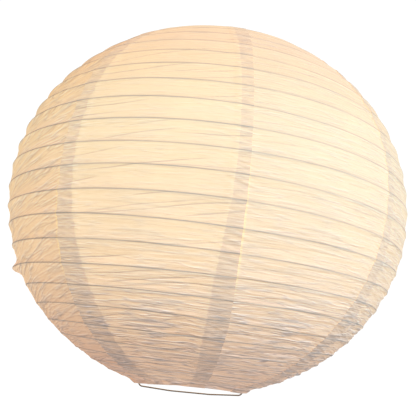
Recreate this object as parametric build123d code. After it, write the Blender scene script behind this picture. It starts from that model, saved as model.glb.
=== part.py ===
from build123d import *
import os
from math import cos, radians, sin

# Round paper lantern on a sprung wire frame, with its lampholder and bulb, in millimetres.
# The origin is the mouth of the cord entry, on the lantern's axis; +Z points up, along the cord.
# Longitudes run anticlockwise seen from above, from 0 at -Y; polar angles run down from the top.

# Paper shade
SHADE_R = 225.0
FLATTENING = 0.918  # height over width of the paper's ellipsoid
SHADE_Z = -225.0  # height of the ellipsoid's centre
PAPER_T = 0.25
LAYER_GAP = 0.1  # between the two papers of a seam
SEAM_LONGITUDES = (6, 51, 96, 142, 188, 233, 278, 323)  # glued by hand, so not quite even
SEAM_OVERLAP = 3.1  # degrees, 12 mm at the equator
PAPER_END_GAP = 1.0  # degrees of polar angle between the paper and the rings

# Rib: one wire wound from ring to ring in a spiral
RIB_R = 0.45
RIB_SIDES = 8  # an octagonal section stands for round wire
RIB_CLEARANCE = 0.45  # between the rib and the inner paper
RIB_STEP = 6.0  # degrees of polar angle in a turn
RIB_START = 17.1
RIB_HALF_TURNS = 48

# Opening rings and the paper folded round them
RING_R = 61.0
RING_WIRE_R = 1.0
BINDING_T = 0.45
BINDING_WRAP = 290  # degrees round the ring's wire

# Spreader frame
LEG_X = 57.5
LEG_WIRE_R = 0.75
KINK_X = 62.5  # the kinks reach out under the top ring and over the bottom ring
KINK_HALF_HEIGHT = 3.5
KINK_DROP = 4.4  # from a ring's centre to its kink's point
HOOK_X = 64.5
HOOK_RISE = 2.6  # the hooks pass over the top ring
BOW_DROP = 6.6  # the bow hangs this far below the bottom ring
BOW_CORNER_RISE = 2.2
BOW_FLAT_X = 22.0
WIRE_BEND_R = 1.6
BOW_CORNER_R = 4.5
BOW_BEND_R = 60.0
ARM_R = 1.0
LAMP_RING_IN_R = 22.2
LAMP_RING_OUT_R = 27.0
LAMP_RING_T = 1.2
WELD = 0.8  # how far the arms run into the lamp ring's rim

# Lampholder, heights down from the origin
SHOULDER_Z = -53.0  # underside of the shoulder that the lamp ring is clamped to
FACE_GAP = 0.1  # between faces that meet but move apart
THREAD_R = 19.7
THREAD_DEPTH = 0.5
THREAD_PITCH = 2.5
SKIRT_IN_R = 17.3
SKIRT_END_Z = -100.0
COLLAR_R = 21.6
SHOULDER_R = 24.0
SHOULDER_T = 2.9
CAP_R = 23.5
CAP_WALL = 1.6
CAP_DOME_Z = -38.0
NECK_R = 8.0
NECK_Z = (-16.0, -8.1)
NECK_BORE_R = 4.9
GRIP_R = 7.5
GRIP_SCREW_R = 4.7
GRIP_END_Z = -20.0
CORD_BORE_R = 3.6
BASE_R = 17.1
BASE_Z = (-58.0, -46.0)
SHELL_R = (13.7, 14.3)
SHELL_Z = (-88.0, -58.1)
STRIP_T = 0.6
SCREW_X = 9.0

# Reducer and nut, under the lamp ring
NUT_IN_R = 20.0
REDUCER_BOSS_R = 22.0
REDUCER_R = 25.0
REDUCER_T = 1.2
NUT_R = 27.0
NUT_T = 9.0
NUT_FLUTES = 24
FLUTE_R = 1.4

# Bulb with a 27 mm screw cap
TIP_Z = -62.0
CAP_SHELL_R = 13.1
CAP_SHELL_Z = (-89.0, -68.0)
CAP_THREAD_PITCH = 3.6
GLOBE_R = 30.0
GLOBE_Z = -140.0
GLOBE_WALL = 1.2
RIM_Z = -122.0
BODY_WALL = 2.0
BOARD_T = 1.5
LED_COUNT = 8

RING_TILT = 15.73  # polar angle at which the ellipsoid meets the opening rings
RING_Z = SHADE_R * FLATTENING * cos(radians(RING_TILT))
TOP_RING_Z = SHADE_Z + RING_Z
BOTTOM_RING_Z = SHADE_Z - RING_Z

os.makedirs("parts", exist_ok=True)


def save(name, shape):
    """Writes one piece, or a group of like pieces, to its own file."""
    export_step(shape, f"parts/{name}.step")


def turned(*points):
    """A solid turned about the lantern's axis from a closed outline of (radius, height) points."""
    outline = Polyline(*[(r, 0, z) for r, z in points], close=True)
    return revolve(make_face(outline.edges()), Axis.Z, 360)


def swept_wire(path, section):
    """A wire of this section along a path."""
    return sweep(Plane(path @ 0, z_dir=path % 0) * section, path=path)


def paper_gore(start, sweep_angle, depth):
    """One strip of paper from ring to ring, its outer face this deep below the outermost paper."""
    reach = 90 - RING_TILT - PAPER_END_GAP
    arcs = []
    for sink in (depth, depth + PAPER_T):
        arcs.append(
            EllipticalCenterArc(
                (0, 0),
                SHADE_R - sink,
                SHADE_R * FLATTENING - sink,
                start_angle=-reach,
                arc_size=2 * reach,
            )
        )
    outer, inner = arcs
    section = make_face([outer, Line(outer @ 1, inner @ 1), inner, Line(inner @ 0, outer @ 0)])
    placed = Plane((0, 0, SHADE_Z), x_dir=(1, 0, 0), z_dir=(0, -1, 0)) * section
    return Rot(0, 0, start - 90) * revolve(placed, Axis.Z, sweep_angle)


def save_gores():
    """Eight strips; every second one lies on top of both its neighbours."""
    count = len(SEAM_LONGITUDES)
    for index in range(count):
        start = SEAM_LONGITUDES[index] - SEAM_OVERLAP / 2
        end = SEAM_LONGITUDES[(index + 1) % count] + SEAM_OVERLAP / 2
        depth = PAPER_T + LAYER_GAP if index % 2 == 0 else 0.0
        save(f"paper_gore_{index + 1}", paper_gore(start, (end - start) % 360, depth))


def rib_spiral():
    """One wire from ring to ring: half turns, each a tilted half circle, so that they join smoothly."""
    sink = 2 * PAPER_T + LAYER_GAP + RIB_CLEARANCE + RIB_R
    width, height = SHADE_R - sink, SHADE_R * FLATTENING - sink
    ends = []
    for index in range(RIB_HALF_TURNS + 1):
        angle = radians(RIB_START + index * RIB_STEP / 2)
        side = 1 if index % 2 == 0 else -1
        ends.append(Vector(side * width * sin(angle), 0, SHADE_Z + height * cos(angle)))
    arcs = []
    for index, (start, end) in enumerate(zip(ends, ends[1:])):
        side = 1 if index % 2 == 0 else -1
        middle = (start + end) * 0.5 + Vector(0, side * (end - start).length / 2, 0)
        arcs.append(ThreePointArc(start, middle, end))
    return swept_wire(Wire(arcs), RegularPolygon(RIB_R, RIB_SIDES))


def ring(height):
    return Pos(0, 0, height) * Torus(RING_R, RING_WIRE_R)


def binding(height, paper_side):
    """Paper folded round an opening ring, open where the shade's paper leaves it."""
    gap = (360 - BINDING_WRAP) / 2
    start = paper_side * RING_TILT + gap
    inner = CenterArc((0, 0), RING_WIRE_R, start, BINDING_WRAP)
    outer = CenterArc((0, 0), RING_WIRE_R + BINDING_T, start, BINDING_WRAP)
    section = make_face([inner, Line(inner @ 1, outer @ 1), outer, Line(outer @ 0, inner @ 0)])
    placed = Plane((RING_R, 0, height), x_dir=(1, 0, 0), z_dir=(0, -1, 0)) * section
    return revolve(placed, Axis.Z, 360)


def spreader_bow():
    """One wire: hook, kink, leg, kink, bow under the bottom opening, and the same again."""
    kinks = [(TOP_RING_Z - KINK_DROP, WIRE_BEND_R), (BOTTOM_RING_Z + KINK_DROP, WIRE_BEND_R)]
    half = [(HOOK_X, TOP_RING_Z + HOOK_RISE, None), (LEG_X, TOP_RING_Z + HOOK_RISE, WIRE_BEND_R)]
    for height, bend in kinks:
        half.append((LEG_X, height + KINK_HALF_HEIGHT, bend))
        half.append((KINK_X, height, bend))
        half.append((LEG_X, height - KINK_HALF_HEIGHT, bend))
    bow_z = BOTTOM_RING_Z - BOW_DROP
    half.append((LEG_X, bow_z + BOW_CORNER_RISE, BOW_CORNER_R))
    half.append((BOW_FLAT_X, bow_z, BOW_BEND_R))
    route = half + [(-x, z, bend) for x, z, bend in reversed(half)]
    points = [(x, 0, z) for x, z, bend in route]
    bends = [bend for x, z, bend in route[1:-1]]
    return swept_wire(FilletPolyline(*points, radius=bends).wire(), Circle(LEG_WIRE_R))


def bridge_arms():
    """Two straight wires from the legs to the lamp ring."""
    height = SHOULDER_Z - FACE_GAP - LAMP_RING_T / 2
    start = LAMP_RING_OUT_R - WELD
    arms = []
    for side in (1, -1):
        path = Line((side * start, 0, height), (side * LEG_X, 0, height))
        arms.append(swept_wire(path, Circle(ARM_R)))
    return Compound(children=arms)


def lamp_ring():
    top = SHOULDER_Z - FACE_GAP
    bottom = top - LAMP_RING_T
    return turned(
        (LAMP_RING_IN_R, bottom),
        (LAMP_RING_OUT_R, bottom),
        (LAMP_RING_OUT_R, top),
        (LAMP_RING_IN_R, top),
    )


def reducer_ring():
    """Stepped ring that centres the wide lamp ring on the narrower holder."""
    top = SHOULDER_Z - 2 * FACE_GAP
    step = SHOULDER_Z - FACE_GAP - LAMP_RING_T
    bottom = step - REDUCER_T
    return turned(
        (NUT_IN_R, bottom),
        (REDUCER_R, bottom),
        (REDUCER_R, step),
        (REDUCER_BOSS_R, step),
        (REDUCER_BOSS_R, top),
        (NUT_IN_R, top),
    )


def ring_nut():
    """Nut that clamps the lamp ring up against the holder's shoulder, with flutes to grip."""
    top = SHOULDER_Z - 2 * FACE_GAP - LAMP_RING_T - REDUCER_T
    bottom = top - NUT_T
    lip = 2.0
    blank = turned(
        (NUT_IN_R, bottom),
        (NUT_R - 1, bottom),
        (NUT_R, bottom + 1),
        (NUT_R, top - lip),
        (NUT_R + 1, top - lip),
        (NUT_R + 1, top),
        (NUT_IN_R, top),
    )
    height = NUT_T - lip
    flute = Pos(0, 0, bottom + height / 2) * Cylinder(FLUTE_R, height)
    return blank - PolarLocations(NUT_R + FLUTE_R / 3, NUT_FLUTES) * flute


def holder_skirt():
    """Threaded tube that the nut runs on, with the shoulder above it and a collar inside the cap."""
    shoulder_top = SHOULDER_Z + SHOULDER_T
    outline = [
        (SKIRT_IN_R, SKIRT_END_Z),
        (THREAD_R - THREAD_DEPTH, SKIRT_END_Z),
    ]
    threads = int((SHOULDER_Z - SKIRT_END_Z - THREAD_PITCH) / THREAD_PITCH)
    for index in range(threads):
        foot = SKIRT_END_Z + THREAD_PITCH * (index + 0.3)
        outline.append((THREAD_R - THREAD_DEPTH, foot))
        outline.append((THREAD_R, foot + THREAD_PITCH * 0.25))
        outline.append((THREAD_R, foot + THREAD_PITCH * 0.4))
        outline.append((THREAD_R - THREAD_DEPTH, foot + THREAD_PITCH * 0.65))
    outline += [
        (THREAD_R - THREAD_DEPTH, SHOULDER_Z),
        (SHOULDER_R, SHOULDER_Z),
        (SHOULDER_R, shoulder_top),
        (COLLAR_R, shoulder_top),
        (COLLAR_R, shoulder_top + 9),
        (SKIRT_IN_R, shoulder_top + 9),
    ]
    return turned(*outline)


def holder_cap():
    """Domed cap, with a neck at the top that the cord grip screws into."""
    bottom = SHOULDER_Z + SHOULDER_T + FACE_GAP
    dome_end, neck_top = NECK_Z
    outer = Spline(
        (CAP_R, 0, CAP_DOME_Z),
        (CAP_R - 4.2, 0, CAP_DOME_Z + 11),
        (NECK_R + 2.5, 0, dome_end - 2.2),
        (NECK_R, 0, dome_end),
        tangents=[(0, 0, 1), (-0.3, 0, 1)],
    )
    inner = Spline(
        (NECK_BORE_R, 0, dome_end - CAP_WALL),
        (NECK_R + 1.5, 0, dome_end - 4.2),
        (CAP_R - 4.2 - CAP_WALL, 0, CAP_DOME_Z + 9.5),
        (CAP_R - CAP_WALL, 0, CAP_DOME_Z - 1),
        tangents=[(1, 0, 0), (0, 0, -1)],
    )
    outline = [
        Line((CAP_R, 0, bottom), outer @ 0),
        outer,
        Line(outer @ 1, (NECK_R, 0, neck_top)),
        Line((NECK_R, 0, neck_top), (NECK_BORE_R, 0, neck_top)),
        Line((NECK_BORE_R, 0, neck_top), inner @ 0),
        inner,
        Line(inner @ 1, (CAP_R - CAP_WALL, 0, bottom)),
        Line((CAP_R - CAP_WALL, 0, bottom), (CAP_R, 0, bottom)),
    ]
    return revolve(make_face(outline), Axis.Z, 360)


def cord_grip():
    """Hollow screw that squeezes the cord, with a fluted head."""
    head_z = NECK_Z[1] + FACE_GAP
    blank = turned(
        (CORD_BORE_R, GRIP_END_Z),
        (GRIP_SCREW_R, GRIP_END_Z),
        (GRIP_SCREW_R, head_z),
        (GRIP_R, head_z),
        (GRIP_R, -1.5),
        (GRIP_R - 1.5, 0),
        (CORD_BORE_R, 0),
    )
    flute = Pos(0, 0, head_z / 2) * Cylinder(1.0, -head_z)
    return blank - PolarLocations(GRIP_R + 0.4, 12) * flute


def contact_base():
    """Insulating insert that carries the contacts and the terminals."""
    low, high = BASE_Z
    disc = turned((0, low), (BASE_R, low), (BASE_R, high - 4), (BASE_R - 3, high), (0, high))
    bore = Pos(0, 0, (low + high) / 2) * Cylinder(1.6, high - low)
    return disc - [Pos(x, 0, 0) * bore for x in (-SCREW_X, SCREW_X)]


def screw_shell():
    """Brass shell that takes the bulb's cap, flared at its mouth."""
    inner, outer = SHELL_R
    low, high = SHELL_Z
    flare = 1.2
    return turned(
        (inner + flare, low),
        (outer + flare, low),
        (outer, low + 2.5),
        (outer, high),
        (inner, high),
        (inner, low + 2.5),
    )


def centre_contact():
    """Sprung strip that meets the bulb's tip."""
    top = BASE_Z[0] - FACE_GAP
    tip = TIP_Z + 0.25
    outline = Polyline(
        (-10, 0, top),
        (-3, 0, top),
        (0.6, 0, tip + STRIP_T),
        (3, 0, tip + STRIP_T),
        (3, 0, tip),
        (0, 0, tip),
        (-3.4, 0, top - STRIP_T),
        (-10, 0, top - STRIP_T),
        close=True,
    )
    return extrude(make_face(outline.edges()), amount=2.5, dir=(0, 1, 0), both=True)


def side_contact():
    """Strip that joins one terminal to the screw shell."""
    top = BASE_Z[0] - FACE_GAP
    inner = SHELL_R[1] + FACE_GAP
    return Pos(inner + STRIP_T / 2, 0, top - 6) * Box(STRIP_T, 6, 12)


def terminal_screws():
    """Two slotted screws that hold the cord's wires."""
    top = BASE_Z[1]
    shank = Pos(0, 0, top - 4) * Cylinder(1.5, 8)
    head = Pos(0, 0, top + 1) * Cylinder(2.8, 2)
    slot = Pos(0, 0, top + 1.6) * Box(6, 0.7, 0.8)
    screw = shank + head - slot
    return Compound(children=[Pos(x, 0, 0) * screw for x in (-SCREW_X, SCREW_X)])


def bulb_tip_contact():
    return turned((0, TIP_Z - 2), (4.5, TIP_Z - 2), (4.5, TIP_Z - 1), (3.2, TIP_Z), (0, TIP_Z))


def bulb_base_insulator():
    """Glass cone between the tip and the cap's shell."""
    tip = TIP_Z - 2 - FACE_GAP
    shell = CAP_SHELL_Z[1] + FACE_GAP
    return turned((0, shell), (12, shell), (10.5, shell + 1.6), (5, tip), (0, tip))


def bulb_screw_shell():
    """Rolled metal cap."""
    low, high = CAP_SHELL_Z
    outline = [(CAP_SHELL_R - 1.2, low), (CAP_SHELL_R, low)]
    for index in range(5):
        foot = low + 1.4 + CAP_THREAD_PITCH * index
        outline.append((CAP_SHELL_R - 0.8, foot + 0.6))
        outline.append((CAP_SHELL_R - 0.1, foot + CAP_THREAD_PITCH * 0.45))
        outline.append((CAP_SHELL_R - 0.1, foot + CAP_THREAD_PITCH * 0.6))
    outline += [(CAP_SHELL_R - 1, high), (CAP_SHELL_R - 2.2, high)]
    outline.append((CAP_SHELL_R - 2.2, low + 1))
    return turned(*outline)


def bulb_body():
    """Plastic housing between the cap and the globe."""
    top = CAP_SHELL_Z[0] - FACE_GAP
    rim = GLOBE_R * 0.8 + 0.6
    outer = Spline(
        (CAP_SHELL_R + 0.6, 0, top),
        (CAP_SHELL_R + 1.8, 0, top - 10),
        (rim - 3.2, 0, RIM_Z + 9),
        (rim, 0, RIM_Z),
        tangents=[(0, 0, -1), (0.45, 0, -1)],
    )
    inner = Spline(
        (rim - BODY_WALL, 0, RIM_Z),
        (rim - 3.2 - BODY_WALL, 0, RIM_Z + 9),
        (CAP_SHELL_R - 0.4, 0, top - 10),
        (CAP_SHELL_R - 1.4, 0, top),
        tangents=[(-0.45, 0, 1), (0, 0, 1)],
    )
    outline = [outer, Line(outer @ 1, inner @ 0), inner, Line(inner @ 1, outer @ 0)]
    return revolve(make_face(outline), Axis.Z, 360)


def bulb_globe():
    """Hollow opal globe, cut off flat where it meets the housing."""
    hollow = Sphere(GLOBE_R) - Sphere(GLOBE_R - GLOBE_WALL)
    height = RIM_Z - FACE_GAP - GLOBE_Z
    cut = Pos(0, 0, height + GLOBE_R) * Cylinder(2 * GLOBE_R, 2 * GLOBE_R)
    return Pos(0, 0, GLOBE_Z) * (hollow - cut)


def bulb_led_board():
    """Round board with its light-emitting chips facing the globe."""
    chip_t = 0.8
    board = Pos(0, 0, RIM_Z + 0.5 + BOARD_T / 2) * Cylinder(21.5, BOARD_T)
    chip = Pos(0, 0, RIM_Z + 0.5 - chip_t / 2) * Box(3.2, 3.2, chip_t)
    return board + PolarLocations(13, LED_COUNT) * chip


save_gores()
save("rib_spiral", rib_spiral())
save("top_ring", ring(TOP_RING_Z))
save("bottom_ring", ring(BOTTOM_RING_Z))
save("top_binding", binding(TOP_RING_Z, -1))
save("bottom_binding", binding(BOTTOM_RING_Z, 1))
save("spreader_bow", spreader_bow())
save("bridge_arms", bridge_arms())
save("lamp_ring", lamp_ring())
save("reducer_ring", reducer_ring())
save("shade_ring_nut", ring_nut())
save("holder_skirt", holder_skirt())
save("holder_cap", holder_cap())
save("cord_grip", cord_grip())
save("contact_base", contact_base())
save("screw_shell", screw_shell())
save("centre_contact", centre_contact())
save("side_contact", side_contact())
save("terminal_screws", terminal_screws())
save("bulb_tip_contact", bulb_tip_contact())
save("bulb_base_insulator", bulb_base_insulator())
save("bulb_screw_shell", bulb_screw_shell())
save("bulb_body", bulb_body())
save("bulb_globe", bulb_globe())
save("bulb_led_board", bulb_led_board())
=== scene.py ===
from math import cos, pi, radians, sin, sqrt
from typing import NamedTuple

import bpy
import numpy as np
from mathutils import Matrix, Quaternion, Vector


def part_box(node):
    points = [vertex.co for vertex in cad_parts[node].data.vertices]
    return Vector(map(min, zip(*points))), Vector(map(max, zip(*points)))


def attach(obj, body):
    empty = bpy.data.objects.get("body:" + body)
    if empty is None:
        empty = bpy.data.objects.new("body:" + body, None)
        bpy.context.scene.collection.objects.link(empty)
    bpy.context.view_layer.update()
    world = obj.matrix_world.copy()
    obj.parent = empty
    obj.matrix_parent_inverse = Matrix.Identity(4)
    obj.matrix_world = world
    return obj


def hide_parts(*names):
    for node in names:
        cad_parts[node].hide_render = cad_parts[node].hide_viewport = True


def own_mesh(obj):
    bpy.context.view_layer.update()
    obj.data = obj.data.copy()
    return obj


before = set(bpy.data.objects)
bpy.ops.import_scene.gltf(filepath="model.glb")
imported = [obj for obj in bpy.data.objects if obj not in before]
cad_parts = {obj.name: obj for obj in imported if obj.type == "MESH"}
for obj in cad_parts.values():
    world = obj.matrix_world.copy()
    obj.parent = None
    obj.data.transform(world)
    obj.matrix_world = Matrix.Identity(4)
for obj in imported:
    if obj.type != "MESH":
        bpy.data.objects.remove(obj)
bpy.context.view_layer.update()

# A round paper lantern, lit from inside. Lengths are in metres and angles in degrees unless a comment
# says otherwise. Longitude runs to the right seen from outside, from 0 at the front (-Y), and polar
# angle runs down from the top, both on the ellipsoid that the paper follows. Turns count the ribs down.

MM = 0.001

# The shade's shape, from the frame
GORE_COUNT = 8
TOP_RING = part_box("top_ring")
BOTTOM_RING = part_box("bottom_ring")
TOP_RING_Z = (TOP_RING[0].z + TOP_RING[1].z) / 2
BOTTOM_RING_Z = (BOTTOM_RING[0].z + BOTTOM_RING[1].z) / 2
RING_WIRE_R = (TOP_RING[1].z - TOP_RING[0].z) / 2
RING_R = (TOP_RING[1].x - TOP_RING[0].x) / 2 - RING_WIRE_R
SHADE_R = max(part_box(f"paper_gore_{n + 1}")[1].x for n in range(GORE_COUNT))
SHADE_Z = (TOP_RING_Z + BOTTOM_RING_Z) / 2
FLATTENING = (TOP_RING_Z - SHADE_Z) / sqrt(SHADE_R**2 - RING_R**2)
RING_POLAR = np.degrees(np.arcsin(RING_R / SHADE_R))
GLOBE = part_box("bulb_globe")
BULB = Vector((0, 0, (GLOBE[0].z + GLOBE[1].z) / 2))

# Ribs: one spiral, the same as the frame's
RIB_START = 17.1
RIB_START_LON = 90.0
RIB_STEP = 6.0
RIB_TURNS = 24
RIB_R = 0.45 * MM
RIB_SINK = 1.0 * MM  # its centre, behind the inner paper
RIB_POINT_STEP = 3.0  # of longitude, from one point of its path to the next
BAND = SHADE_R * radians(RIB_STEP)  # from one rib to the next

# How the ribs stray from the even spiral, in turns, and from the ellipsoid
RIB_TILT = 0.12
TILTED_TURNS = (6, 10)  # between which the tilt comes in
RIB_CROWDING = 0.30
CROWDED_TURNS = (19.5, 23)  # between which the ribs are crowded together
RIB_WAVES = (0.030, 0.020)  # two and three to a round
OUT_OF_ROUND = 0.5 * MM
KINK_LON, KINK_POLAR = -75, 116.5  # where the spiral's wire is kinked
KINK_LON_REACH, KINK_POLAR_REACH = 5, 1.5
KINK_OUT = 7.5 * MM

# Grid of a strip of paper
ROWS_A_BAND = 26
COLUMNS = 88
COLUMN_CROWDING = 0.55  # how much closer together the columns are near the seams
GRID_PASSES = 4  # until the grid's ribs and edges agree
RAGGED = 0.5 * MM  # how much the strips' edges wander
RAGGED_STEP = 0.9  # how much of that noise a band takes
RAGGED_SEED = 40
PAPER_STAND = 0.3 * MM  # of the paper's ends, off the rings' wire
LAYER = 0.42 * MM  # between the two papers of a seam
EVEN_REACH = 2.5  # within this angle of the rings the rows turn level
RING_REACH = 2.2  # within this angle of the rings the paper comes down on them
GORE_SEED = 100
SEAM_SEED = 700

# Seams
SEAMS = (6, 51, 96, 142, 188, 233, 278, 324.3)  # their longitudes, below the middle
SEAM_DRIFTS = (0.8, 0, -0.6, 0.9, 0, 0.7, -0.8, 0.8)  # of each seam's upper half, to the right
SEAM_WIDTHS = (0.92, 1.1, 1.0, 0.9, 1.2, 1.0, 1.1, 1.3)  # of each seam, as a share of the usual one
SEAM_DEPTHS = (1.0, 0.55, 1.0, 0.9, 1.0, 0.8, 1.0, 1.1)  # how much darker the double paper looks
SEAM_LEAKS = (1.0, 0.0, 0.5, 0.0, 0.6, 0.3, 0.0, 0.8)  # light past the edge of each seam
SEAM_HALF = 6.0 * MM
SEAM_WIDENING = 5.5 * MM  # more overlap towards the bottom
SEAM_TOP_WIDENING = 1.5 * MM
SEAM_NARROWING = 2.6 * MM  # and less again near the bottom ring
SEAM_NEAR = 14 * MM  # how far past its overlap a seam wrinkles the paper
SEAM_PUCKER = 0.35  # slope of the wrinkles beside a seam
SEAM_WRINKLE = 0.7  # their depth, as a share of the usual one
SEAM_SAG = 1.1 * MM  # between the ribs
SEAM_CRUMPLE = 0.8

# Where the paper changes, as the polar angles between which it does
SEAM_STRAIGHT = (120, 85)  # where a seam's drift comes in, going up
SEAM_WIDENS = (85, 135)
SEAM_TOP_WIDENS = (70, 40)
SEAM_NARROWS = (128, 153)
SLANTED_TOP, SLANTED_BOTTOM = (22, 57), (158, 123)  # the wrinkles' slope comes in, from both ends
LOWER = (97, 141)  # more crumpled
LOWEST = (118, 146)  # most crumpled
TAUTER = (108, 133)
THICKER = (105, 155)  # shaded by its own folds
UPPER = (82, 57)  # yellower and darker
DOUBLED, DOUBLED_LOW = (85, 120), (120, 145)  # the double paper is darker
LEAK_BELOW, LEAK_ABOVE = (88, 100), (125, 113)  # light leaks past the seams between them

# Wrinkles: the depth, length and height of each family, and how they wander
WRINKLES = (
    (1.3 * MM, 90 * MM, 9 * MM),
    (1.1 * MM, 60 * MM, 4.8 * MM),
    (0.6 * MM, 36 * MM, 2.8 * MM),
)
WRINKLE_WANDER = 2.5 * MM
WANDER_LENGTH, WANDER_HEIGHT = 45 * MM, 30 * MM
PATCH_LENGTH, PATCH_HEIGHT = 55 * MM, 40 * MM  # of more and less wrinkled paper
PATCHINESS = 0.3
SAG_LENGTH = 60 * MM  # over which the sag between two ribs varies
SAG_SPREAD = 0.5
SAG_CURVE = 1.9  # its shape from rib to rib: 2 is a parabola
TAUTNESS = 0.6  # how much less the paper sags where it is tauter
RIB_SHOW_LENGTH = 45 * MM  # over which a rib shows more and less
RIB_SHOW_SPREAD = 0.3
MORE_CRUMPLED, MOST_CRUMPLED = 0.6, 1.0  # added where the paper is lower and lowest
CRUMPLE_LIMIT = 2.6
HELD = 0.12  # of the wrinkles' depth, where the paper is glued to a rib
HELD_REACH = 0.16  # of a band

# Long folds that cross the ribs
FOLD_FAMILIES = 3
FOLD_WIDTH = 1.3 * MM
FOLD_DEPTH = 0.9 * MM
FOLD_OFFSET = 0.37  # of a band, from one family to the next
FOLD_STEEPER = 0.5  # how much more each family slopes than the one before
FOLD_DRIFT, FOLD_JITTER = 0.16, 0.28  # of a band
FOLD_DRIFT_LENGTH = 70 * MM
FOLD_SPREAD = 75 * MM  # of their middles, to both sides
FOLD_LENGTH, FOLD_LENGTH_SPREAD = 38 * MM, 22 * MM
FOLD_WEAKEST = 0.25  # as a share of the strongest

# The paper folded round the rings
RING_LIFT = 5.0 * MM  # the frame holds the bottom ring down at its sides, so its front and back bow up
LIFT_REACH = 14  # how far up the paper follows it
FOLD_START, FOLD_END = 50, 245  # the folded paper's way round a ring, from its outside over its open side
FLAP_SINK = 1.5 * MM  # of the fold's glued flap, behind the paper
FLAP_REACH, FLAP_RAGGED = 1.4, 0.15  # up from the ring, and how much its edge wanders
FLAP_WAVES = 0.1 * MM
PLEAT = 0.12 * MM
PLEAT_WIDTH, WIDE_PLEAT_WIDTH = 2.2, 9  # round the ring
RAGGED_WIDTH, WAVE_WIDTH = 6, 3
FOLD_SEED = 60
RING_POINTS, FOLD_POINTS = 240, 420  # round the ring's wire, and round the paper folded over it

# Light through the paper, as linear colours
GLOW_ROUND = np.array([0.695, 0.385, 0.225])  # from all round
GLOW_DIRECT = np.array([0.06, 0.235, 0.06])  # straight from the bulb, at GLOW_DISTANCE
GLOW_DISTANCE = 0.2
DOUBLED_TOP = np.array([0.91, 0.89, 0.92])  # what double paper lets through of it
DOUBLED_BOTTOM = np.array([0.84, 0.83, 0.86])
DOUBLED_LAST = 0.07  # taken off near the bottom ring
TOP_SHADE = np.array([0.0, 0.05, 0.22])  # what is taken off towards the top
THICK_SHADE = np.array([0.325, 0.435, 0.435])  # and towards the bottom
TILT_SHADE = np.array([0.12, 0.18, 0.22])  # by the slope of the wrinkles, up to the steepest
LOW_TILT_SHADE = 0.8  # how much more towards the bottom
STEEPEST = 0.9
HOUSING_ANGLES = (70, 115)  # from straight down, where the bulb's own housing shades the top
HOUSING_SHADE = 0.75
RIB_SHADE = (0.42, 0.42, 0.47)
NEAR_RIB_SHADE = (0.93, 0.92, 0.90)
FOLD_SHADE = (0.52, 0.50, 0.52)
CREASE_SHADE = (0.54, 0.49, 0.49)
RIDGE_SHINE = (1.13, 1.29, 1.58)
BLOTCH_SHADE = (0.86, 0.85, 0.88)
LEAK_SHINE = (1.20, 1.20, 0.90)

# Grain of the paper, as the length and height of its features
FRAY_GRAIN = (8 * MM, 5 * MM)
BLOTCH_GRAIN = (14 * MM, 4 * MM)
WAVE_GRAIN = (64 * MM, 5.4 * MM)
SHORT_GRAIN = (36 * MM, 3.1 * MM)
FIBRE_GRAIN = (9 * MM, 0.8 * MM)
CLOUD_GRAIN = (40 * MM, 40 * MM)
WAVE_RELIEF, SHORT_RELIEF, FIBRE_RELIEF = 2.2, 1.1, 0.15  # in mm
FRAY = 0.04  # how far the edge of double paper wanders, as a share of the overlap

# Lines on the paper, as the distances at which they begin to fade and are gone
RIB_LINE = (0.30 * MM, 0.95 * MM)
NEAR_RIB = (0.8 * MM, 3.2 * MM)
FOLD_LINE = (0.15 * MM, 0.8 * MM)
OVERLAP_END = (0.94, 1.04)  # as shares of the overlap
LEAK_END = (1.04, 1.14)
RIDGE_START, RIDGE_END = (0.8 * MM, 1.5 * MM), (1.6 * MM, 3.0 * MM)  # below a rib
RIDGE_LENGTH = 50 * MM

# Creases, seen as lines: length, height, and how much of the noise's middle is a line
CREASES = ((110 * MM, 8.6 * MM, 0.042), (64 * MM, 4.7 * MM, 0.045))
CREASE_DARK, CREASE_BRIGHT, RIDGE_BRIGHT = 0.44, 0.58, 0.40  # how strongly each shows
CREASE_STEP = 0.9 * MM  # from a crease to the bright line beside it

# Colours of what isn't lit through, and glows: the bulb's globe, and the folded paper's painted light from
# the bulb
PAPER_COLOUR = (0.50, 0.475, 0.44)
FOLDED_COLOUR = (0.62, 0.56, 0.49)
FOLDED_GLOW = (0.16, 0.115, 0.075)
GLOBE_GLOW = (1.0, 0.78, 0.50)
FLOOR_COLOUR = (0.86, 0.86, 0.86)

# Stage
CAMERA_DISTANCE = 3.284 * SHADE_R
CAMERA_ELEVATION = -12.0
CAMERA_ROLL = 5.5
CAMERA_LENS, CAMERA_SENSOR = 54.5, 36.0  # in mm
CENTRE = Vector((0, 0, SHADE_Z))
AIM = CENTRE + Vector((0.3, 0, 4.1)) * MM
FLOOR_DROP = 0.9  # below the shade's centre
FLOOR_REACH = 9.0
WORLD_LIGHT, WORLD_SEEN = 0.25, 1.05
LIGHTS = (  # name, place from the shade's centre, size, power in watts, and colour
    ("key", (0.9, -1.6, 0.75), 0.5, 16, (0.85, 0.95, 1.0)),
    ("right", (1.8, -0.2, 0.3), 0.8, 6, (0.65, 0.86, 1.0)),
    ("fill", (-1.7, -0.9, 0.3), 1.2, 2.2, (1.0, 0.86, 0.82)),
)


class Look(NamedTuple):
    """How a strip of paper lies and looks."""

    sag: float  # between the ribs, in mm
    wrinkle: float  # strength of its wrinkles, above LOWER
    slope: float  # of its wrinkles, up to the right
    fold: float  # strength of its long folds
    fold_slope: float  # of its long folds, down to the right
    rib: float  # how dark its ribs show, above LOWER
    tint: tuple  # of the light through it
    grain: float = 1.0  # how closely its wrinkles lie
    low: float = 1.2  # strength of its wrinkles, below LOWER
    thick: float = 1.0  # how much its own folds shade it near the bottom


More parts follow.
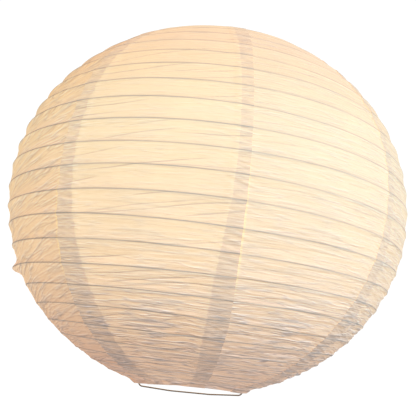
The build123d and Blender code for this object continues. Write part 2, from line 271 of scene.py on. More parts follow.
GORE_LOOKS = (
    Look(sag=0.9, wrinkle=0.65, slope=0.02, fold=0.55, fold_slope=-0.03, rib=0.65, tint=(0.99, 0.965, 1.07)),
    Look(sag=0.9, wrinkle=0.90, slope=0.04, fold=0.50, fold_slope=0.08, rib=0.75, tint=(0.875, 0.85, 0.945),
         grain=0.80),
    Look(sag=1.5, wrinkle=1.00, slope=0.10, fold=0.50, fold_slope=0.05, rib=0.90, tint=(1.00, 1.00, 1.00),
         grain=0.90),
    Look(sag=1.3, wrinkle=0.80, slope=-0.06, fold=0.70, fold_slope=-0.08, rib=1.00, tint=(0.98, 0.97, 0.96)),
    Look(sag=1.6, wrinkle=1.10, slope=0.20, fold=0.40, fold_slope=0.10, rib=0.85, tint=(1.00, 1.00, 1.02),
         grain=0.85),
    Look(sag=1.2, wrinkle=0.90, slope=-0.05, fold=0.60, fold_slope=0.06, rib=1.00, tint=(0.99, 0.98, 0.97)),
    Look(sag=1.7, wrinkle=1.00, slope=0.28, fold=0.60, fold_slope=-0.22, rib=1.00, tint=(0.96, 0.85, 0.82),
         grain=0.60, low=0.60, thick=1.20),
    Look(sag=1.2, wrinkle=0.45, slope=0.03, fold=0.90, fold_slope=-0.09, rib=0.95, tint=(1.04, 1.00, 1.05)),
)


def smooth(x):
    """An S-curve from 0 at 0 to 1 at 1, level outside them."""
    x = np.clip(x, 0, 1)
    return x * x * (3 - 2 * x)


def rise(value, start, end):
    """0 before start and 1 past end, smoothly between them. End may be the smaller of the two."""
    return smooth((value - start) / (end - start))


def noise(x, y, seed):
    """Smooth noise from about -1 to 1 that changes over one unit of x and of y."""
    period = 256
    angles = np.random.RandomState(seed).uniform(0, 2 * pi, (period, period))
    column, row = np.floor(x).astype(int), np.floor(y).astype(int)
    fx, fy = x - column, y - row
    u, v = smooth(fx), smooth(fy)

    def corner(i, j):
        angle = angles[(column + i) % period, (row + j) % period]
        return np.cos(angle) * (fx - i) + np.sin(angle) * (fy - j)

    low = corner(0, 0) * (1 - u) + corner(1, 0) * u
    high = corner(0, 1) * (1 - u) + corner(1, 1) * u
    return 1.5 * (low * (1 - v) + high * v)


def bottom_lift(lon, polar):
    """How far the bent bottom ring pulls the paper up."""
    near = rise(polar, 180 - RING_POLAR - LIFT_REACH, 180 - RING_POLAR)
    return RING_LIFT * near * np.cos(np.radians(lon)) ** 2


def on_shade(lon, polar, sink):
    """Points on the shade's ellipsoid, this deep below its surface."""
    a, t = np.radians(lon), np.radians(polar)
    across = (SHADE_R - sink) * np.sin(t)
    height = SHADE_Z + (SHADE_R * FLATTENING - sink) * np.cos(t) + bottom_lift(lon, polar)
    return np.stack([across * np.sin(a), -across * np.cos(a), height], axis=-1)


def rib_wobble(lon, turn):
    """How far the ribs stray from an even spiral at a longitude in a turn, in turns."""
    a = np.radians(lon)
    along = turn + (lon - RIB_START_LON) / 360
    tilt = RIB_TILT * np.sin(a) * rise(along, *TILTED_TURNS)
    crowded = -RIB_CROWDING * rise(along, *CROWDED_TURNS)
    two = RIB_WAVES[0] * np.sin(2 * a + 1.3 * along)
    three = RIB_WAVES[1] * np.sin(3 * a - 2.1 * along + 1)
    return tilt + crowded + two + three


def polar_of_turn(lon, turn):
    """The polar angle at which a rib's turn passes this longitude. Whole turns are ribs."""
    even = turn + (lon - RIB_START_LON) / 360
    return RIB_START + RIB_STEP * (even + rib_wobble(lon, turn))


def out_of_round(lon, polar):
    """How far the ribs stand inside the true ellipsoid. The kink in the rib stands out."""
    a, t = np.radians(lon), np.radians(polar)
    from_kink = (lon - KINK_LON + 180) % 360 - 180
    kink = np.exp(-((from_kink / KINK_LON_REACH) ** 2) - ((polar - KINK_POLAR) / KINK_POLAR_REACH) ** 2)
    return OUT_OF_ROUND * (1 + np.sin(2 * a + 3 * t) * np.sin(5 * t + a)) - KINK_OUT * kink


def seam_half(polar, seam):
    """Half the width of a seam's overlap."""
    usual = SEAM_HALF + SEAM_WIDENING * rise(polar, *SEAM_WIDENS)
    usual = usual + SEAM_TOP_WIDENING * rise(polar, *SEAM_TOP_WIDENS)
    usual = usual - SEAM_NARROWING * rise(polar, *SEAM_NARROWS)
    return SEAM_WIDTHS[seam % GORE_COUNT] * usual


def seam_lon(polar, seam):
    """A seam's longitude. Its upper half drifts off a straight line."""
    number = seam % GORE_COUNT
    drift = SEAM_DRIFTS[number] * rise(polar, *SEAM_STRAIGHT)
    return SEAMS[number] + 360 * (seam // GORE_COUNT) + drift


def wrinkles(along, across, seed):
    """Depth of crinkles: long low folds and short sharp ones, nearly along the ribs."""
    wander = noise(along / WANDER_LENGTH, across / WANDER_HEIGHT, seed + len(WRINKLES))
    bent = across + WRINKLE_WANDER * wander
    depth = 0
    for number, (deep, wide, high) in enumerate(WRINKLES):
        depth = depth + deep * np.abs(noise(along / wide, bent / high, seed + number))
    return depth


def fold_lines(along, turn, slope, seed):
    """Long sharp folds that run across the ribs at a small angle, in families.

    Gives the distance to each family's nearest fold, below or above 0, and how strong it is there.
    The sines scatter the folds' places, lengths and strengths."""
    away, strength = [], []
    for family in range(FOLD_FAMILIES):
        drift = FOLD_DRIFT * noise(along / FOLD_DRIFT_LENGTH, 0 * along + 3.7 * family, seed + family)
        steep = slope * (1 + FOLD_STEEPER * family)
        route = turn - steep * along / BAND + drift + FOLD_OFFSET * family
        number = np.round(route)
        jitter = FOLD_JITTER * np.sin(2.1 * number + 1.7 * family + seed)
        away.append((route - number - jitter) * BAND)
        middle = FOLD_SPREAD * np.sin(5.3 * number + 2 * family + seed)
        length = FOLD_LENGTH + FOLD_LENGTH_SPREAD * np.sin(3.7 * number + seed)
        strong = FOLD_WEAKEST + (1 - FOLD_WEAKEST) * np.abs(np.sin(7.9 * number + family))
        strength.append(strong * np.exp(-(((along - middle) / length) ** 4)))
    return np.stack(away, axis=-1), np.stack(strength, axis=-1)


class Gore:
    """One strip of paper as a grid of points: rows follow the ribs, columns run from ring to ring."""

    def __init__(self, index):
        self.index = index
        self.look = GORE_LOOKS[index]
        self.seed = GORE_SEED + 10 * index
        self.over = index % 2 == 1  # lies on top of both neighbours
        self.left, self.right = seam_lon(180, index), seam_lon(180, index + 1)
        self.middle = (self.left + self.right) / 2
        self.place_grid()
        self.wrinkle()
        self.sink()
        self.tone()

    def place_grid(self):
        """Finds each point's longitude and polar angle, and its place along and across the strip."""
        first, last = RING_POLAR, 180 - RING_POLAR
        shift = (self.middle - RIB_START_LON) / 360
        low_turn = (first - RIB_START) / RIB_STEP - shift
        high_turn = (last - RIB_START) / RIB_STEP - shift
        whole = np.arange(np.ceil(low_turn * ROWS_A_BAND), high_turn * ROWS_A_BAND) / ROWS_A_BAND
        turns = np.concatenate([[low_turn], whole, [high_turn]])[:, None]
        even = np.linspace(0, 1, COLUMNS)[None, :]
        crowded = (1 - np.cos(pi * even)) / 2
        share = even + COLUMN_CROWDING * (crowded - even)
        start_polar, end_polar = polar_of_turn(self.middle, low_turn), polar_of_turn(self.middle, high_turn)
        lon = self.left + (self.right - self.left) * share + 0 * turns
        for _ in range(GRID_PASSES):
            level = (polar_of_turn(self.middle, turns) - start_polar) / (end_polar - start_polar)
            straight = first + level * (last - first)
            inside = smooth(np.minimum(straight - first, last - straight) / EVEN_REACH)
            polar = straight + (polar_of_turn(lon, turns) - straight) * inside
            reach = SHADE_R * np.sin(np.radians(polar))
            wander = noise(turns * RAGGED_STEP, 0 * turns, RAGGED_SEED + self.index)
            ragged = np.degrees(RAGGED * wander / reach)
            margins = [np.degrees(seam_half(polar, self.index + side) / reach) for side in (0, 1)]
            start = seam_lon(polar, self.index) - margins[0]
            end = seam_lon(polar, self.index + 1) + margins[1]
            lon = start + (end - start) * share + ragged
        self.lon, self.polar, self.reach = lon, polar, reach
        self.turns = turns + 0 * lon
        self.along = reach * np.radians(lon - self.middle)
        slanted = rise(polar, *SLANTED_TOP) * rise(polar, *SLANTED_BOTTOM)
        self.across = self.look.grain * (self.turns * BAND + self.look.slope * self.along * slanted)
        # 0 at the strip's own edge, 0.5 along the seam's middle and 1 where the overlap ends
        from_left = (lon - ragged - start) / margins[0]
        from_right = (end - lon + ragged) / margins[1]
        self.edge = np.minimum(from_left, from_right) / 2

    def wrinkle(self):
        """Finds how crumpled the paper is, its long folds, and the depth of all its wrinkles."""
        look = self.look
        lower = rise(self.polar, *LOWER)
        patches = noise(self.along / PATCH_LENGTH, self.across / PATCH_HEIGHT, self.seed + 6)
        self.crumple = (look.wrinkle + (look.low - look.wrinkle) * lower) * (1 + PATCHINESS * patches)
        self.fold_away, strength = fold_lines(self.along, self.turns, look.fold_slope, self.seed)
        self.fold_strength = strength * look.fold * (1 + MORE_CRUMPLED * lower[..., None])
        ridge = (self.fold_strength * np.exp(-np.abs(self.fold_away) / FOLD_WIDTH)).max(axis=-1)
        own = self.crumple * wrinkles(self.along, self.across, self.seed) + FOLD_DEPTH * ridge
        self.beside, shared = self.seam_wrinkles()
        self.relief = own * (1 - self.beside) + shared

    def seam_wrinkles(self):
        """How near a seam each point is, from 0 to 1, and the depth of the wrinkles there.

        Both papers of a seam share them, so that the glued overlap lies flat on itself."""
        beside, shared = np.zeros_like(self.lon), np.zeros_like(self.lon)
        level = self.turns + (self.lon - RIB_START_LON) / 360  # the same for both strips
        for number in (self.index, self.index + 1):
            from_seam = self.reach * np.radians(self.lon - seam_lon(self.polar, number))
            past_overlap = np.abs(from_seam) - seam_half(self.polar, number)
            near = 1 - smooth(past_overlap / SEAM_NEAR)
            slanted = level * BAND - SEAM_PUCKER * from_seam
            seed = SEAM_SEED + 10 * (number % GORE_COUNT)
            shared += near * SEAM_WRINKLE * wrinkles(from_seam, slanted, seed)
            beside = np.maximum(beside, near)
        return beside, shared

    def sink(self):
        """Lays the paper on the shade: on the ribs and rings, and sagging and wrinkled between them."""
        band = np.floor(self.turns)
        place = self.turns - band
        between = 1 - np.abs(2 * place - 1) ** SAG_CURVE  # 0 on a rib and 1 midway
        taut = 1 - TAUTNESS * rise(self.polar, *TAUTER)
        slack = taut * (1 + SAG_SPREAD * noise(self.along / SAG_LENGTH, band * 3.3, self.seed + 5))
        own_sag = MM * self.look.sag * slack
        sag = between * (own_sag * (1 - self.beside) + SEAM_SAG * taut * self.beside)
        loose = HELD + (1 - HELD) * smooth(np.minimum(place, 1 - place) / HELD_REACH)
        sink = out_of_round(self.lon, self.polar) + LAYER + sag + self.relief * loose
        off_ring = smooth(np.minimum(self.polar - RING_POLAR, 180 - RING_POLAR - self.polar) / RING_REACH)
        on_ring = -(RING_WIRE_R + PAPER_STAND)
        sink = on_ring + off_ring * (sink - on_ring)
        if self.over:
            sink = sink - LAYER * smooth(self.beside)
        self.points = on_shade(self.lon, self.polar, sink)

    def tone(self):
        """Finds how strongly the creases and the ribs show."""
        lower, lowest = rise(self.polar, *LOWER), rise(self.polar, *LOWEST)
        crumple = np.maximum(self.crumple, SEAM_CRUMPLE * self.beside)
        crumple = crumple * (1 + MORE_CRUMPLED * lower + MOST_CRUMPLED * lowest)
        self.crumple = np.minimum(crumple, CRUMPLE_LIMIT)
        uneven = noise(self.along / RIB_SHOW_LENGTH, np.round(self.turns) * 1.7, self.seed + 8)
        usual = self.look.rib + (1 - self.look.rib) * lower
        self.rib = usual * (1 + RIB_SHOW_SPREAD * uneven)

    def normals(self):
        down = np.gradient(self.points, axis=0)
        right = np.gradient(self.points, axis=1)
        normal = np.cross(down, right)
        return normal / np.linalg.norm(normal, axis=-1, keepdims=True)

    def glow(self):
        """The bulb's light that comes through the paper: straight from the bulb, and from all round."""
        ray = self.points - np.array(BULB)
        distance = np.linalg.norm(ray, axis=-1)
        facing = np.clip((self.normals() * ray).sum(axis=-1) / distance, 0, 1)
        upward = np.degrees(np.arccos(-ray[..., 2] / distance))
        lamp = 1 - HOUSING_SHADE * rise(upward, *HOUSING_ANGLES)
        direct = (GLOW_DISTANCE / distance) ** 2 * facing * lamp
        lower = rise(self.polar, *THICKER)[..., None]
        upper = rise(self.polar, *UPPER)[..., None]
        crumpled = 1 - THICK_SHADE * self.look.thick * lower
        tint = np.array(self.look.tint) * (1 - TOP_SHADE * upper)
        light = (GLOW_ROUND + GLOW_DIRECT * direct[..., None]) * crumpled * tint
        tilt = np.gradient(self.relief, axis=0) / (BAND / ROWS_A_BAND)
        tilt = np.clip(tilt, -STEEPEST, STEEPEST)[..., None]
        return light * (1 - TILT_SHADE * (1 + LOW_TILT_SHADE * lower) * tilt)

    def of_seams(self, values):
        """The value of the nearer of the strip's two seams."""
        return np.where(self.lon < self.middle, values[self.index], values[(self.index + 1) % GORE_COUNT])

    def leak(self):
        """How much light leaks out along the edges of the strips on top: only at some seams, and low."""
        return self.of_seams(SEAM_LEAKS) * rise(self.polar, *LEAK_BELOW) * rise(self.polar, *LEAK_ABOVE)

    def doubled_glow(self, glow):
        """The same light where the paper is double."""
        lower = rise(self.polar, *DOUBLED)[..., None]
        lowest = rise(self.polar, *DOUBLED_LOW)[..., None]
        kept = DOUBLED_TOP + (DOUBLED_BOTTOM - DOUBLED_TOP) * lower - DOUBLED_LAST * lowest
        return glow * (1 - (1 - kept) * self.of_seams(SEAM_DEPTHS)[..., None])

    def values(self):
        """What the paper's material reads at each point."""
        names = ("turns", "along", "across", "edge", "rib", "crumple", "fold_away", "fold_strength")
        values = {name: getattr(self, name) for name in names}
        glow = self.glow()
        return dict(values, leak=self.leak(), glow=glow, doubled_glow=self.doubled_glow(glow))


def grid_mesh(name, points, closed=False):
    """A sheet of quads over a (rows, columns) grid of points, facing out of the shade."""
    rows, columns = points.shape[:2]
    index = np.arange(rows * columns).reshape(rows, columns)
    if closed:
        index = np.hstack([index, index[:, :1]])
    corners = [index[:-1, :-1], index[1:, :-1], index[1:, 1:], index[:-1, 1:]]
    quads = np.stack(corners, axis=-1).reshape(-1, 4)
    mesh = bpy.data.meshes.new(name)
    mesh.from_pydata(points.reshape(-1, 3).tolist(), [], quads.tolist())
    mesh.shade_smooth()
    piece = bpy.data.objects.new(name, mesh)
    bpy.context.scene.collection.objects.link(piece)
    return piece


def keep_values(piece, arrays):
    """Stores numbers on the mesh's points, for its material to read."""
    for name, values in arrays.items():
        kind, field = ("FLOAT", "value") if values.ndim == 2 else ("FLOAT_VECTOR", "vector")
        stored = piece.data.attributes.new(name, kind, "POINT")
        stored.data.foreach_set(field, np.ascontiguousarray(values, dtype=np.float32).ravel())


class Material:
    """A node material around one Principled shader."""

    def __init__(self, name, colour, roughness, metallic=0.0):
        self.material = bpy.data.materials.new(name)
        self.material.use_nodes = True
        self.tree = self.material.node_tree
        self.shader = self.tree.nodes["Principled BSDF"]
        self.shader.inputs["Base Color"].default_value = (*colour, 1)
        self.shader.inputs["Roughness"].default_value = roughness
        self.shader.inputs["Metallic"].default_value = metallic

    def node(self, kind, inputs=(), **settings):
        """A new node. Inputs are a value or an output to link, in the sockets' order or by name."""
        made = self.tree.nodes.new(kind)
        for name, value in settings.items():
            setattr(made, name, value)
        pairs = inputs.items() if isinstance(inputs, dict) else enumerate(inputs)
        for socket, value in pairs:
            self.give(made.inputs[socket], value)
        return made

    def give(self, socket, value):
        if isinstance(value, bpy.types.NodeSocket):
            self.tree.links.new(value, socket)
        else:
            socket.default_value = value

    def math(self, operation, *values):
        return self.node("ShaderNodeMath", values, operation=operation).outputs[0]

    def product(self, first, *others):
        for other in others:
            first = self.math("MULTIPLY", first, other)
        return first

    def scaled(self, colour, factor):
        made = self.node("ShaderNodeVectorMath", {0: colour, "Scale": factor}, operation="SCALE")
        return made.outputs[0]

    def attribute(self, name):
        return self.node("ShaderNodeAttribute", attribute_name=name).outputs["Fac"]

    def vector_attribute(self, name):
        return self.node("ShaderNodeAttribute", attribute_name=name).outputs["Vector"]

    def noise(self, place, scale, detail=3.0, roughness=0.55):
        settings = {"Vector": place, "Scale": scale, "Detail": detail, "Roughness": roughness}
        return self.node("ShaderNodeTexNoise", settings).outputs["Fac"]

    def ramp(self, value, low, high, to_low=0.0, to_high=1.0):
        """Value mapped smoothly from low..high to to_low..to_high."""
        sockets = {"Value": value, "From Min": low, "From Max": high, "To Min": to_low, "To Max": to_high}
        return self.node("ShaderNodeMapRange", sockets, interpolation_type="SMOOTHSTEP").outputs[0]

    def fall(self, value, low, high):
        """1 below low and 0 above high."""
        return self.ramp(value, low, high, 1.0, 0.0)

    def bump(self, height, strength, distance):
        sockets = {"Height": height, "Strength": strength, "Distance": distance}
        self.give(self.shader.inputs["Normal"], self.node("ShaderNodeBump", sockets).outputs[0])

    def glow(self, colour, strength=1.0):
        self.shader.inputs["Emission Color"].default_value = (*colour, 1)
        self.shader.inputs["Emission Strength"].default_value = strength

    def tinted(self, colour, tint, factor):
        """A colour multiplied by a tint, as far as the factor says."""
        sockets = {"Factor": factor, "A": colour, "B": (*tint, 1)}
        made = self.node("ShaderNodeMix", sockets, data_type="RGBA", blend_type="MULTIPLY")
        return made.outputs["Result"]

    def varied(self, colour, amount, value):
        """The shader's colour, darker and lighter by amount as value goes from 0 to 1."""
        factor = self.ramp(value, 0.25, 0.75, 1 - amount, 1 + amount)
        self.give(self.shader.inputs["Base Color"], self.scaled(colour, factor))


class Paper(Material):
    """Thin crinkled paper with long fibres, glowing where the bulb shines through it."""

    def __init__(self, name, over):
        super().__init__(name, PAPER_COLOUR, 0.82)
        self.turns, self.along = self.attribute("turns"), self.attribute("along")
        self.across, self.crumple = self.attribute("across"), self.attribute("crumple")
        self.edge = self.attribute("edge")
        place = self.math("FRACT", self.math("ADD", self.turns, 0.5))
        self.below_rib = self.math("MULTIPLY", self.math("SUBTRACT", place, 0.5), BAND)
        self.light = self.vector_attribute("glow")
        if over:
            self.show_seams()
        else:
            self.leak_light()
        self.show_ribs()
        self.show_folds()
        self.show_creases()
        self.show_ridges()
        self.show_fibres()

    def shade(self, tint, factor):
        """Multiplies the light that comes through by a tint, as far as the factor says."""
        self.light = self.tinted(self.light, tint, factor)

    def flat_noise(self, x, y, wide, high, detail=2.0, roughness=0.55):
        """Noise whose features are this wide and high."""
        flat = [self.math("DIVIDE", x, wide), self.math("DIVIDE", y, high), 0.0]
        place = self.node("ShaderNodeCombineXYZ", flat).outputs[0]
        return self.noise(place, 1.0, detail, roughness)

    def grain(self, wide, high, detail=2.0, roughness=0.55):
        """Noise that lies along the wrinkles."""
        return self.flat_noise(self.along, self.across, wide, high, detail, roughness)

    def creases(self, across, wide, high, width):
        """Thin wandering lines, where a noise passes its middle value: 1 on the line."""
        value = self.flat_noise(self.along, across, wide, high, roughness=0.6)
        away = self.math("ABSOLUTE", self.math("SUBTRACT", value, 0.5))
        return self.fall(away, 0.0, width)

    def show_seams(self):
        """The strip on top shows where the paper is double, with a frayed edge and darker blotches of
        painted shade.
        """
        frayed = self.math("ADD", self.edge, self.ramp(self.grain(*FRAY_GRAIN), 0.3, 0.7, -FRAY, FRAY))
        doubled = self.fall(frayed, *OVERLAP_END)
        sockets = {"Factor": doubled, "A": self.light, "B": self.vector_attribute("doubled_glow")}
        self.light = self.node("ShaderNodeMix", sockets, data_type="RGBA").outputs["Result"]
        blotches = self.ramp(self.grain(*BLOTCH_GRAIN), 0.42, 0.62)
        self.shade(BLOTCH_SHADE, self.product(blotches, doubled))

    def leak_light(self):
        """Light leaks out along the edge of the strip on top."""
        self.shade(LEAK_SHINE, self.product(self.fall(self.edge, *LEAK_END), self.attribute("leak")))

    def show_ribs(self):
        """A rib behind the paper keeps the bulb's light off it."""
        from_rib = self.math("ABSOLUTE", self.below_rib)
        line = self.fall(from_rib, *RIB_LINE)
        self.shade(RIB_SHADE, self.product(line, self.attribute("rib")))
        self.shade(NEAR_RIB_SHADE, self.fall(from_rib, *NEAR_RIB))

    def show_folds(self):
        """Long folds show as dark lines of painted shade."""
        away = self.node("ShaderNodeSeparateXYZ", [self.vector_attribute("fold_away")])
        strength = self.node("ShaderNodeSeparateXYZ", [self.vector_attribute("fold_strength")])
        for family in range(FOLD_FAMILIES):
            line = self.fall(self.math("ABSOLUTE", away.outputs[family]), *FOLD_LINE)
            self.shade(FOLD_SHADE, self.product(line, strength.outputs[family]))

    def show_creases(self):
        """Creases show as a dark line of painted shade with a painted highlight beside it."""
        beside = self.math("ADD", self.across, CREASE_STEP)
        darkness, shine = self.product(self.crumple, CREASE_DARK), self.product(self.crumple, CREASE_BRIGHT)
        for wide, high, width in CREASES:
            self.shade(CREASE_SHADE, self.product(self.creases(self.across, wide, high, width), darkness))
            self.shade(RIDGE_SHINE, self.product(self.creases(beside, wide, high, width), shine))

    def show_ridges(self):
        """Just below a rib the crumpled paper catches the light here and there: a painted highlight."""
        begin = self.ramp(self.below_rib, *RIDGE_START)
        end = self.fall(self.below_rib, *RIDGE_END)
        patches = self.ramp(self.flat_noise(self.along, self.turns, RIDGE_LENGTH, 1.0), 0.35, 0.6)
        self.shade(RIDGE_SHINE, self.product(begin, end, patches, self.crumple, RIDGE_BRIGHT))

    def show_fibres(self):
        """Thicker and thinner fibres and the wrinkles' fine relief, over all the light so far."""
        wave = self.grain(*WAVE_GRAIN, roughness=0.6)
        short = self.grain(*SHORT_GRAIN, roughness=0.6)
        fibres = self.grain(*FIBRE_GRAIN, detail=3.0, roughness=0.65)
        cloud = self.grain(*CLOUD_GRAIN)
        thin = self.ramp(fibres, 0.3, 0.7, 0.95, 1.05)
        thinness = self.product(thin, self.ramp(cloud, 0.3, 0.7, 0.97, 1.03))
        self.give(self.shader.inputs["Emission Color"], self.scaled(self.light, thinness))
        self.shader.inputs["Emission Strength"].default_value = 1.0
        self.varied(PAPER_COLOUR, 0.04, fibres)
        relief = self.math("ADD", self.product(wave, WAVE_RELIEF), self.product(short, SHORT_RELIEF))
        relief = self.product(relief, self.crumple)
        relief = self.math("ADD", relief, self.product(fibres, FIBRE_RELIEF))
        self.bump(relief, 1.0, 1.0 * MM)


def make_paper():
    over, under = Paper("paper_on_top", True), Paper("paper_under", False)
    for index in range(GORE_COUNT):
        gore = Gore(index)
        name = f"paper_strip_{index + 1}"
        piece = grid_mesh(name, gore.points)
        keep_values(piece, gore.values())
        piece.data.materials.append(over.material if gore.over else under.material)
        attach(piece, "shade")
        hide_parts(f"paper_gore_{index + 1}")
        flatten(piece)


def flatten(piece):
    """Gives the piece a mesh of its own."""
    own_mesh(piece)


def tube_grid(path, radius, sides=8):
    """Points round a path, as a (points, sides) grid."""
    ahead = np.gradient(path, axis=0)
    ahead /= np.linalg.norm(ahead, axis=1, keepdims=True)
    side = np.cross(ahead, [0, 0, 1])
    side /= np.linalg.norm(side, axis=1, keepdims=True)
    up = np.cross(side, ahead)
    angles = np.linspace(0, 2 * pi, sides, endpoint=False)[None, :, None]
    return path[:, None] + radius * (np.cos(angles) * side[:, None] + np.sin(angles) * up[:, None])


def make_rib(material):
    lon = RIB_START_LON + np.arange(0, 360 * RIB_TURNS + 1, RIB_POINT_STEP)
    polar = polar_of_turn(lon, 0.0)
    sink = out_of_round(lon, polar) + LAYER + RIB_SINK
    piece = grid_mesh("spiral_rib", tube_grid(on_shade(lon, polar, sink), RIB_R), closed=True)
    piece.data.materials.append(material)
    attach(piece, "shade")
    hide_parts("rib_spiral")
    flatten(piece)


def ring_place(lon, height, lift, out, down):
    """Points this far out of and below a ring's centre line, which its lift bends."""
    a = np.radians(lon)
    across = RING_R + out
    level = height + lift * np.cos(a) ** 2 - down
    return np.stack([across * np.sin(a), -across * np.cos(a), level], axis=-1)


def press_flat(piece):
    """Gives the piece a mesh of its own."""
    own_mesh(piece)


def make_bent_ring(material):
    """The bottom ring as the frame bends it."""
    lon = np.linspace(0, 360, RING_POINTS, endpoint=False)
    rows = []
    for turn in np.linspace(0, 2 * pi, 11):
        out, down = RING_WIRE_R * cos(turn), RING_WIRE_R * sin(turn)
        rows.append(ring_place(lon, BOTTOM_RING_Z, RING_LIFT, out, down))
    piece = grid_mesh("bent_ring", np.array(rows), closed=True)
    piece.data.materials.append(material)
    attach(piece, "bottom_hoop")
    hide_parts("bottom_ring")
    press_flat(piece)


def make_fold(name, node, body, height, lift, side, material):
    """Paper folded round an opening ring, with a glued flap inside the shade. Side is 1 at the bottom."""
    lon = np.linspace(0, 360, FOLD_POINTS, endpoint=False)
    rows = []
    for step in np.linspace(0, 1, 14):
        turn = radians(FOLD_START + (FOLD_END - FOLD_START) * step)
        pleats = noise(lon / PLEAT_WIDTH, 0 * lon + 3 * step, FOLD_SEED)
        pleats = pleats + 1.2 * noise(lon / WIDE_PLEAT_WIDTH, 0 * lon, FOLD_SEED + 1)
        wrap = RING_WIRE_R + PAPER_STAND * (0.5 + 0.9 * step) + PLEAT * pleats * smooth(2 * step)
        rows.append(ring_place(lon, height, lift, wrap * cos(turn), side * wrap * sin(turn)))
    for step in np.linspace(0.25, 1, 4):
        ragged = FLAP_RAGGED * noise(lon / RAGGED_WIDTH, 0 * lon, FOLD_SEED + 2)
        polar = RING_POLAR + (FLAP_REACH + ragged) * step
        if side > 0:
            polar = 180 - polar
        sink = FLAP_SINK + FLAP_WAVES * noise(lon / WAVE_WIDTH, 0 * lon + step, FOLD_SEED + 3)
        rows.append(on_shade(lon, polar, sink))
    points = np.array(rows)
    piece = grid_mesh(name, points if side > 0 else points[::-1], closed=True)
    piece.data.materials.append(material)
    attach(piece, body)
    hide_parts(node)
    return piece


def folded_paper():
    folded = Material("folded_paper", FOLDED_COLOUR, 0.85)
    place = folded.node("ShaderNodeTexCoord").outputs["Object"]
    fibres = folded.noise(place, 900.0, 4.0)
    folded.varied(FOLDED_COLOUR, 0.10, fibres)
    folded.bump(fibres, 0.4, 0.2 * MM)
    # Painted light: the bulb's dim light coming through the folded paper.
    folded.glow(FOLDED_GLOW)
    return folded.material


def worn(name, colour, roughness, metallic, scale, amount=0.08, bump=0.02):
    """A hard material whose colour and gloss vary a little over its surface. Bump is in mm."""
    made = Material(name, colour, roughness, metallic)
    place = made.node("ShaderNodeTexCoord").outputs["Object"]
    broad = made.noise(place, scale, 4.0)
    close = made.noise(place, scale * 9, 2.0)
    made.varied(colour, amount, broad)
    gloss = made.ramp(close, 0.3, 0.7, roughness * 0.85, roughness * 1.15)
    made.give(made.shader.inputs["Roughness"], gloss)
    made.bump(close, 0.3, bump * MM)
    return made


def dress(made, *nodes):
    """Gives the frame's pieces a material."""
    for node in nodes:
        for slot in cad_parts[node].material_slots:
            slot.material = made.material


def dress_wires():
    """The frame's bent wire and its pressed plate. Gives the rings' material back."""
    dress(worn("drawn_wire", (0.30, 0.265, 0.24), 0.42, 0.85, 60.0), "spreader_bow", "bridge_arms")
    dress(worn("pressed_steel", (0.42, 0.40, 0.38), 0.38, 0.9, 90.0), "lamp_ring")
    ring = worn("ring_wire", (0.34, 0.31, 0.29), 0.40, 0.85, 60.0)
    dress(ring, "top_ring", "bottom_ring")
    return ring.material


def dress_holder():
    plastic = worn("holder_plastic", (0.80, 0.79, 0.76), 0.48, 0.0, 120.0, 0.03, 0.05)
    dress(plastic, "holder_skirt", "holder_cap", "shade_ring_nut", "reducer_ring", "cord_grip")
    dress(worn("ceramic", (0.78, 0.75, 0.69), 0.6, 0.0, 160.0, 0.05, 0.04), "contact_base")
    brass = worn("brass", (0.72, 0.52, 0.24), 0.34, 1.0, 140.0)
    dress(brass, "screw_shell", "centre_contact", "side_contact", "bulb_tip_contact")
    dress(worn("plated_steel", (0.60, 0.60, 0.61), 0.3, 1.0, 200.0), "terminal_screws")


def dress_bulb():
    dress(worn("rolled_cap", (0.66, 0.65, 0.62), 0.3, 1.0, 120.0), "bulb_screw_shell")
    dress(worn("black_glass", (0.02, 0.02, 0.022), 0.18, 0.0, 100.0), "bulb_base_insulator")
    dress(worn("bulb_housing", (0.84, 0.83, 0.80), 0.32, 0.0, 100.0, 0.02, 0.01), "bulb_body")
    dress(worn("led_board", (0.85, 0.84, 0.8), 0.45, 0.0, 300.0, 0.03, 0.02), "bulb_led_board")
    globe = worn("opal_globe", (0.7, 0.67, 0.6), 0.35, 0.0, 40.0, 0.02, 0.01)
    globe.glow(GLOBE_GLOW, 1.1)
    dress(globe, "bulb_globe")


def make_camera():
    data = bpy.data.cameras.new("camera")
    data.lens, data.sensor_width = CAMERA_LENS, CAMERA_SENSOR
    camera = bpy.data.objects.new("camera", data)
    bpy.context.scene.collection.objects.link(camera)
    tilt = radians(CAMERA_ELEVATION)
    camera.location = CENTRE + CAMERA_DISTANCE * Vector((0, -cos(tilt), sin(tilt)))
    look = (AIM - camera.location).to_track_quat("-Z", "Y")
    camera.rotation_mode = "QUATERNION"
    camera.rotation_quaternion = look @ Quaternion((0, 0, 1), radians(CAMERA_ROLL))
    bpy.context.scene.camera = camera


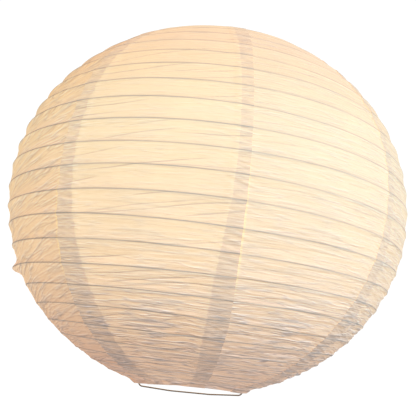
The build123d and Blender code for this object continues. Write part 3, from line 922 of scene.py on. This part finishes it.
def make_light(name, place, size, power, colour):
    """A soft square light that faces the lantern. Place is from the shade's centre."""
    data = bpy.data.lights.new(name, "AREA")
    data.size, data.energy, data.color = size, power, colour
    light = bpy.data.objects.new(name, data)
    bpy.context.scene.collection.objects.link(light)
    light.location = CENTRE + Vector(place)
    light.rotation_mode = "QUATERNION"
    light.rotation_quaternion = (-Vector(place)).to_track_quat("-Z", "Y")


def make_world():
    """White all round for the camera, and a softer white as light."""
    world = bpy.data.worlds.new("studio")
    bpy.context.scene.world = world
    world.use_nodes = True
    tree = world.node_tree
    background = tree.nodes["Background"]
    background.inputs["Color"].default_value = (1, 1, 1, 1)
    path = tree.nodes.new("ShaderNodeLightPath")
    strength = tree.nodes.new("ShaderNodeMapRange")
    strength.inputs["To Min"].default_value = WORLD_LIGHT
    strength.inputs["To Max"].default_value = WORLD_SEEN
    tree.links.new(path.outputs["Is Camera Ray"], strength.inputs["Value"])
    tree.links.new(strength.outputs[0], background.inputs["Strength"])


def floor_material():
    """Pale, white to the camera, and clear from below, so that it doesn't hide the lantern."""
    made = Material("pale_floor", FLOOR_COLOUR, 0.9)
    made.glow((1, 1, 1))
    to_camera = made.node("ShaderNodeLightPath").outputs["Is Camera Ray"]
    made.give(made.shader.inputs["Emission Strength"], to_camera)
    from_below = made.node("ShaderNodeNewGeometry").outputs["Backfacing"]
    made.give(made.shader.inputs["Alpha"], made.math("SUBTRACT", 1.0, from_below))
    return made.material


def make_floor():
    mesh = bpy.data.meshes.new("floor")
    corners = [(x * FLOOR_REACH, y * FLOOR_REACH, SHADE_Z - FLOOR_DROP) for x in (-1, 1) for y in (-1, 1)]
    mesh.from_pydata(corners, [], [(0, 2, 3, 1)])
    mesh.materials.append(floor_material())
    floor = bpy.data.objects.new("floor", mesh)
    bpy.context.scene.collection.objects.link(floor)


def make_stage():
    bpy.context.scene.view_settings.view_transform = "Standard"
    make_camera()
    make_world()
    make_floor()
    for light in LIGHTS:
        make_light(*light)


make_stage()
make_paper()
ring_metal = dress_wires()
dress_holder()
dress_bulb()
make_rib(ring_metal)
paper = folded_paper()
make_fold("top_fold", "top_binding", "shade", TOP_RING_Z, 0, -1, paper)
make_bent_ring(ring_metal)
bottom_fold = make_fold("bottom_fold", "bottom_binding", "bottom_hoop", BOTTOM_RING_Z, RING_LIFT, 1, paper)
press_flat(bottom_fold)
